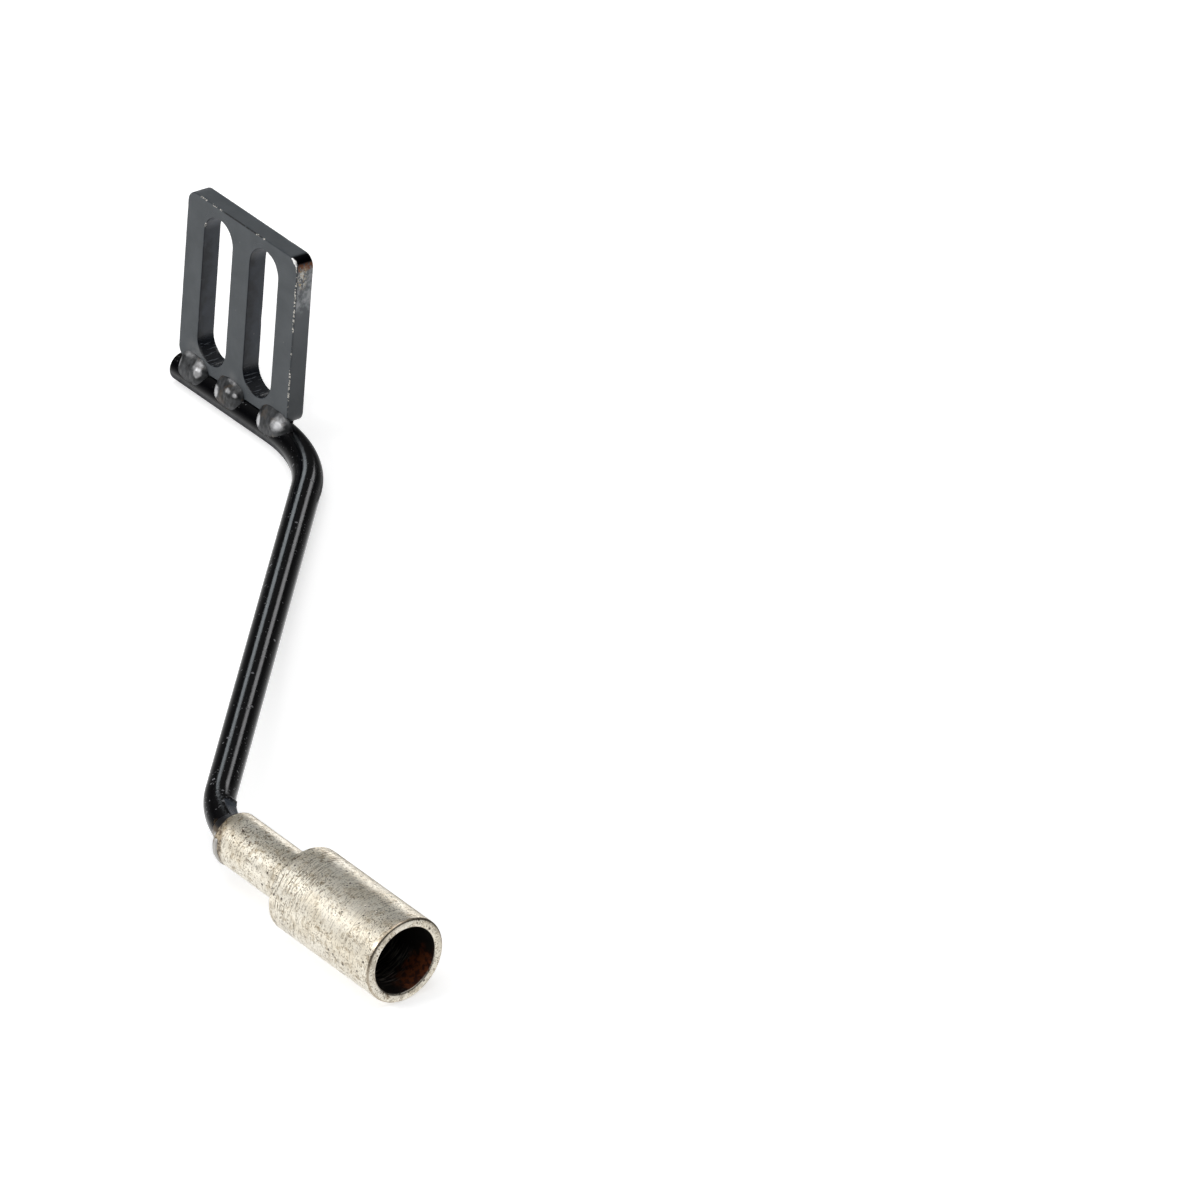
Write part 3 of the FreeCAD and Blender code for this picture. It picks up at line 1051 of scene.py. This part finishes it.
# ---- Stage: floor, lights, world and camera ----
def stage_material(name, albedo, glow=0.0):
    """A plain white surface that nothing sees from behind."""
    g = Graph(name)
    g.set("Base Color", (albedo, albedo, albedo, 1.0))
    g.set("Roughness", 1.0)
    g.set("Specular IOR Level", 0.0)
    g.set("Emission Strength", glow)
    mix = g.add("ShaderNodeMixShader")
    g.link(g.add("ShaderNodeNewGeometry").outputs["Backfacing"], mix.inputs[0])
    g.link(g.shader.outputs["BSDF"], mix.inputs[1])
    g.link(g.add("ShaderNodeBsdfTransparent").outputs[0], mix.inputs[2])
    g.link(mix.outputs[0], g.surface)
    return g.material


def floor_plane(name, centre, normal, width, depth, material):
    """A rectangle on the floor's plane."""
    corners = [(x * width, y * depth, 0) for x, y in ((-0.5, -0.5), (0.5, -0.5), (0.5, 0.5), (-0.5, 0.5))]
    mesh = bpy.data.meshes.new(name)
    mesh.from_pydata(corners, [], [(0, 1, 2, 3)])
    mesh.materials.append(material)
    plane = bpy.data.objects.new(name, mesh)
    turn = Matrix((X_AXIS, normal.cross(X_AXIS), normal)).transposed().to_4x4()
    plane.matrix_world = Matrix.Translation(centre) @ turn
    show(plane)
    return plane


def make_floor():
    """A white floor that touches the rod's first section and the cup, so it slopes a little.

    Gloss sees the world below the horizon in its place, except close under the rod's first section."""
    tilt = math.asin((CUP_R - ROD_R) / (ROD_Y - SOCKET_BASE.y))
    normal = Vector((0, -math.sin(tilt), math.cos(tilt)))
    touch = Vector((0, ROD_Y, ROD_Z)) - normal * ROD_R
    floor = floor_plane("floor", touch, normal, 24.0, 24.0, stage_material("floor_white", 0.8, 0.56))
    floor.visible_glossy = False
    middle = touch + X_AXIS * 4 * MM + normal * 0.02 * MM
    # Painted shade: a darker patch of floor close under the rod's first section, seen only in reflections.
    shaded = stage_material("floor_near", 0.3)
    near = floor_plane("floor_under_rod", middle, normal, 64 * MM, 8 * MM, shaded)
    near.visible_camera = False
    near.visible_diffuse = False
    near.visible_shadow = False


def softbox(name, direction, distance, width, height, radiance, tint=(1.0, 1.0, 1.0)):
    """A rectangular light that faces the object from a direction. No camera sees it."""
    target = Vector((80, -45, -15)) * MM
    lamp = bpy.data.lights.new(name, "AREA")
    lamp.shape = "RECTANGLE"
    lamp.size = width
    lamp.size_y = height
    lamp.energy = radiance * math.pi * width * height
    lamp.color = tint
    box = bpy.data.objects.new(name, lamp)
    toward = Vector(direction).normalized()
    box.location = target + toward * distance
    box.rotation_mode = "QUATERNION"
    box.rotation_quaternion = toward.to_track_quat("Z", "Y")
    box.visible_camera = False
    show(box)
    return box


def all_but(name, piece):
    """A light-linking collection that leaves out one piece."""
    others = bpy.data.collections.new(name)
    others.objects.link(piece)
    others.collection_objects[0].light_linking.link_state = "EXCLUDE"
    return others


# The studio's brightness by the height of a direction, from -1 straight down to 1 straight up
STUDIO_BY_HEIGHT = (
    (-1.0, 1.05), (-0.50, 1.0), (-0.38, 0.60), (-0.27, 0.33), (-0.14, 0.20),
    (0.0, 0.08), (0.14, 0.05), (0.25, 0.04), (0.50, 0.10), (1.0, 0.30),
)


def make_world():
    """A dim studio with a white table below the horizon. The camera itself sees it all as white."""
    world = bpy.data.worlds.new("studio")
    bpy.context.scene.world = world
    world.use_nodes = True
    nodes = world.node_tree.nodes
    nodes.clear()
    output = nodes.new("ShaderNodeOutputWorld")
    place = nodes.new("ShaderNodeTexCoord")
    axes = nodes.new("ShaderNodeSeparateXYZ")
    height = nodes.new("ShaderNodeMapRange")
    height.inputs["From Min"].default_value = -1.0
    ramp = nodes.new("ShaderNodeValToRGB")
    stops = ramp.color_ramp.elements
    for i, (level, value) in enumerate(STUDIO_BY_HEIGHT):
        stop = stops[i] if i < 2 else stops.new((level + 1) / 2)
        stop.position = (level + 1) / 2
        stop.color = (value, value, value, 1.0)
    studio = nodes.new("ShaderNodeBackground")
    white = nodes.new("ShaderNodeBackground")
    white.inputs["Color"].default_value = (1.0, 1.0, 1.0, 1.0)
    path = nodes.new("ShaderNodeLightPath")
    mix = nodes.new("ShaderNodeMixShader")
    wires = (
        (place.outputs["Generated"], axes.inputs[0]),
        (axes.outputs["Z"], height.inputs["Value"]),
        (height.outputs["Result"], ramp.inputs["Fac"]),
        (ramp.outputs["Color"], studio.inputs["Color"]),
        (path.outputs["Is Camera Ray"], mix.inputs[0]),
        (studio.outputs[0], mix.inputs[1]),
        (white.outputs[0], mix.inputs[2]),
        (mix.outputs[0], output.inputs["Surface"]),
    )
    for source, target in wires:
        world.node_tree.links.new(source, target)


def make_camera():
    """A camera with a long lens, on an orbit round the point it aims at."""
    data = bpy.data.cameras.new("camera")
    data.lens = LENS_MM
    data.sensor_width = SENSOR_MM
    data.clip_start = 0.1
    data.clip_end = 50.0
    camera = bpy.data.objects.new("camera", data)
    azimuth = Matrix.Rotation(math.radians(VIEW_AZIMUTH_DEG), 4, "Z")
    elevation = Matrix.Rotation(math.radians(90 - VIEW_ELEVATION_DEG), 4, "X")
    roll = Matrix.Rotation(math.radians(VIEW_ROLL_DEG), 4, "Z")
    turn = azimuth @ elevation @ roll
    camera.matrix_world = Matrix.Translation(VIEW_AIM) @ turn @ Matrix.Translation((0, 0, VIEW_DISTANCE))
    show(camera)
    bpy.context.scene.camera = camera


# ---- Build ----
make_camera()
make_floor()
make_world()
overhead = softbox("overhead", (0.1, -0.1, 1.0), 1.2, 1.2, 1.2, 1.6)
back_left = softbox("back_left", (-0.8118, 0.4158, 0.4105), 1.4, 0.25, 0.25, 2.8, (0.88, 0.95, 1.0))
softbox("back_right", (-0.4047, 0.8229, 0.3996), 1.4, 0.25, 0.25, 2.8, (0.98, 0.98, 1.0))
backdrop = softbox("backdrop", (-0.66, 0.74, 0.14), 1.5, 0.65, 0.70, 1.5)
softbox("front", (-0.18, -0.82, 0.54), 1.5, 0.5, 0.4, 12.0)
wide_front = softbox("wide_front", (-0.66, -0.715, 0.232), 1.5, 1.0, 2.6, 0.85)
bpy.context.scene.view_settings.view_transform = "Standard"

plate = make_plate(plate_paint())
rod = make_rod(rod_paint())
# The plate doesn't block one light, and three others don't fall on the rod
back_left.light_linking.blocker_collection = all_but("blockers", plate)
for box in (wide_front, overhead, backdrop):
    box.light_linking.receiver_collection = all_but(box.name + "_lit", rod)
make_socket(socket_plating())
make_rod_weld(socket_weld_finish())
bead_material = bead_paint()
for number, (puddles, painted_glints) in enumerate(zip(FRONT_PUDDLES, FRONT_PAINTED_GLINTS), start=1):
    make_bead("weld_bead_front_%d" % number, "front_weld_%d" % number, -1, puddles, painted_glints, bead_material)
for number in (1, 2, 3):
    name = "back_weld_%d" % number
    make_bead("weld_bead_back_%d" % number, name, 1, BACK_PUDDLES, BACK_PAINTED_GLINTS, bead_material)
